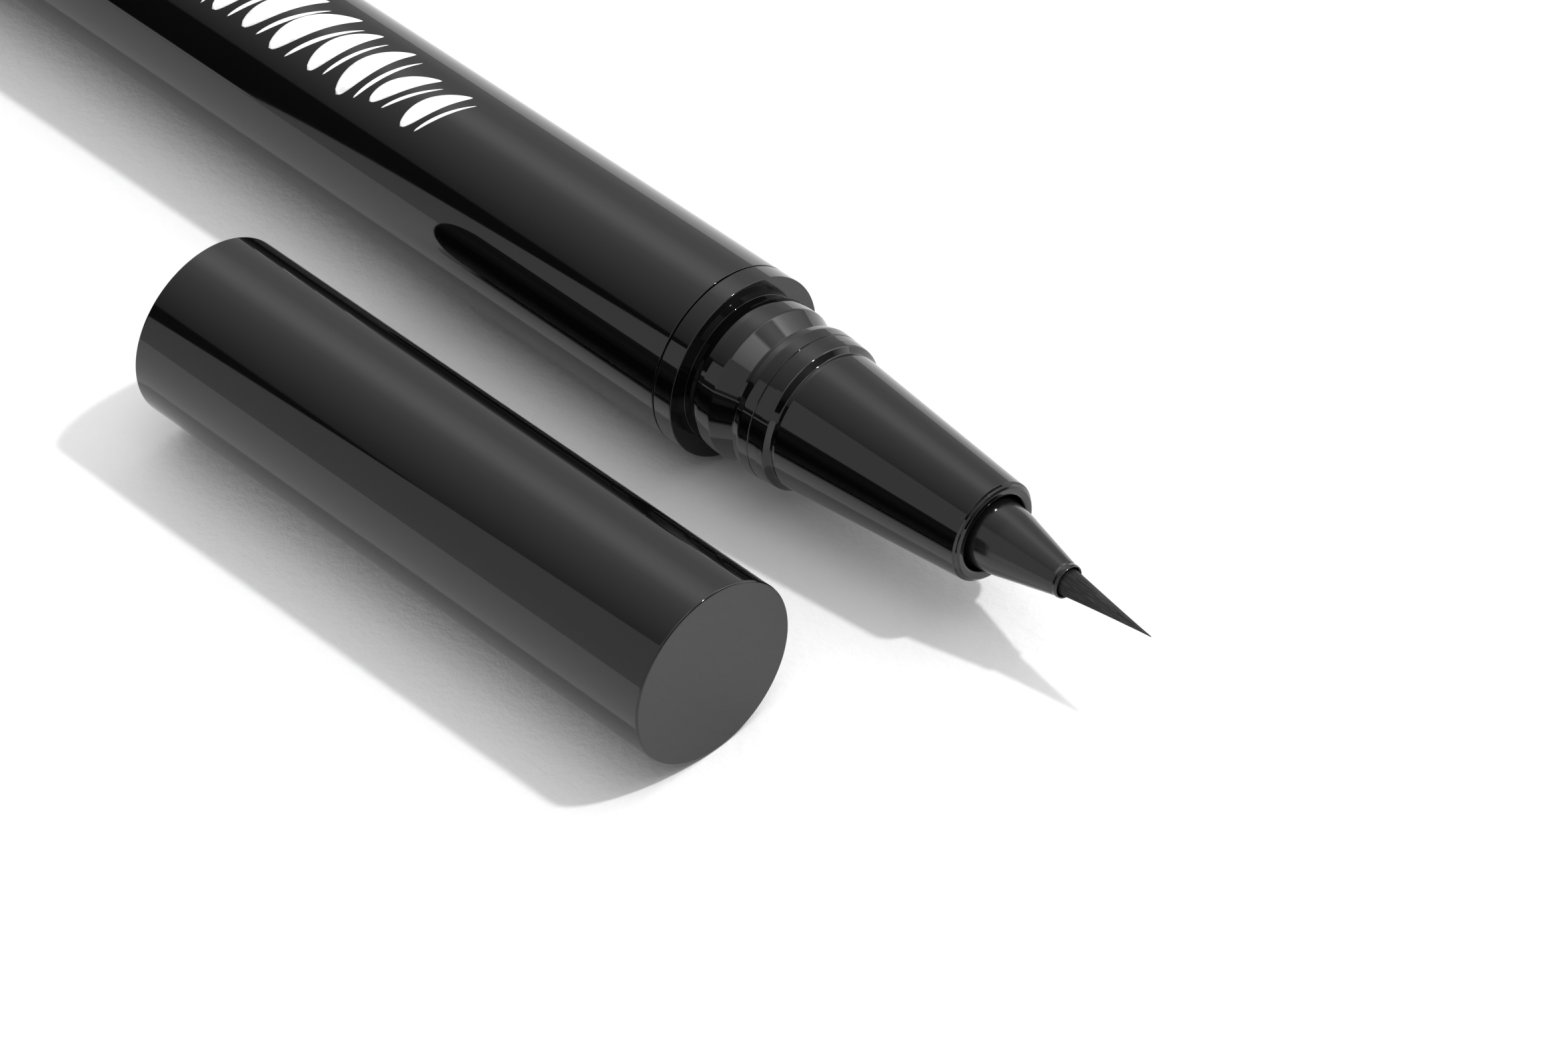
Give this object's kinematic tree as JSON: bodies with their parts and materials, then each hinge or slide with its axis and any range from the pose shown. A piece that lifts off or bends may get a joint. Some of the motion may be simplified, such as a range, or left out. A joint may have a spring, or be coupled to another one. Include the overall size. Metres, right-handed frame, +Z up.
{
  "type": "brush tip pen",
  "caption": "Uncapped round brush-tip liquid pen with a stepped snap collar and tapered nose, its pull-off cap lying beside it.",
  "frame": {"origin": "on the table, under the middle of the bounding box of the pen and its parked cap", "axes": "+X from the pen's tail to its tip, +Y from the cap to the pen, +Z up"},
  "size_m": [0.127, 0.0308, 0.012],
  "materials": {
    "barrel_shell": "polished injection-moulded black, with a printed white stroke",
    "cap_shell": "polished injection-moulded black",
    "section_gloss": "polished injection-moulded black",
    "holder_satin": "satin black",
    "brush_fibre": "fine black nylon bristles, matte and inked",
    "wick_fibre": "bonded fibre soaked with black ink",
    "natural_plastic": "natural milky polypropylene",
    "grey_plastic": "plain grey polyethylene",
    "seal_rubber": "matte black rubber",
    "spring_steel": "bright drawn wire",
    "ball_steel": "polished steel"
  },
  "bodies": {
    "pen": {"barrel": "barrel_shell", "tail_plug": "barrel_shell", "front_section": "section_gloss", "section_seal_ring": "seal_rubber", "tip_holder": "holder_satin", "brush_tip": "brush_fibre", "relay_wick": "wick_fibre", "collector": "natural_plastic", "tank_seal": "seal_rubber", "ink_tank": "natural_plastic", "tank_plug": "natural_plastic"},
    "cap": {"cap_shell": "cap_shell", "cap_liner": "grey_plastic", "inner_cap_spring": "spring_steel"},
    "inner_cap": {"inner_cap": "natural_plastic"},
    "mixing_ball": {"mixing_ball": "ball_steel"}
  },
  "joints": [
    {"name": "cap_pull_off", "type": "slide", "parent": "pen", "child": "cap", "axis": [1, 0, 0], "range_m": [0, 0.0335]},
    {"name": "inner_cap_seat", "type": "slide", "parent": "cap", "child": "inner_cap", "axis": [1, 0, 0], "range_m": [0, 0.0012], "stiffness_N_per_m": 600, "deforming": ["inner_cap_spring"]},
    {"name": "ball_roll", "type": "slide", "parent": "pen", "child": "mixing_ball", "axis": [1, 0, 0], "range_m": [-0.031, 0.028]}
  ]
}
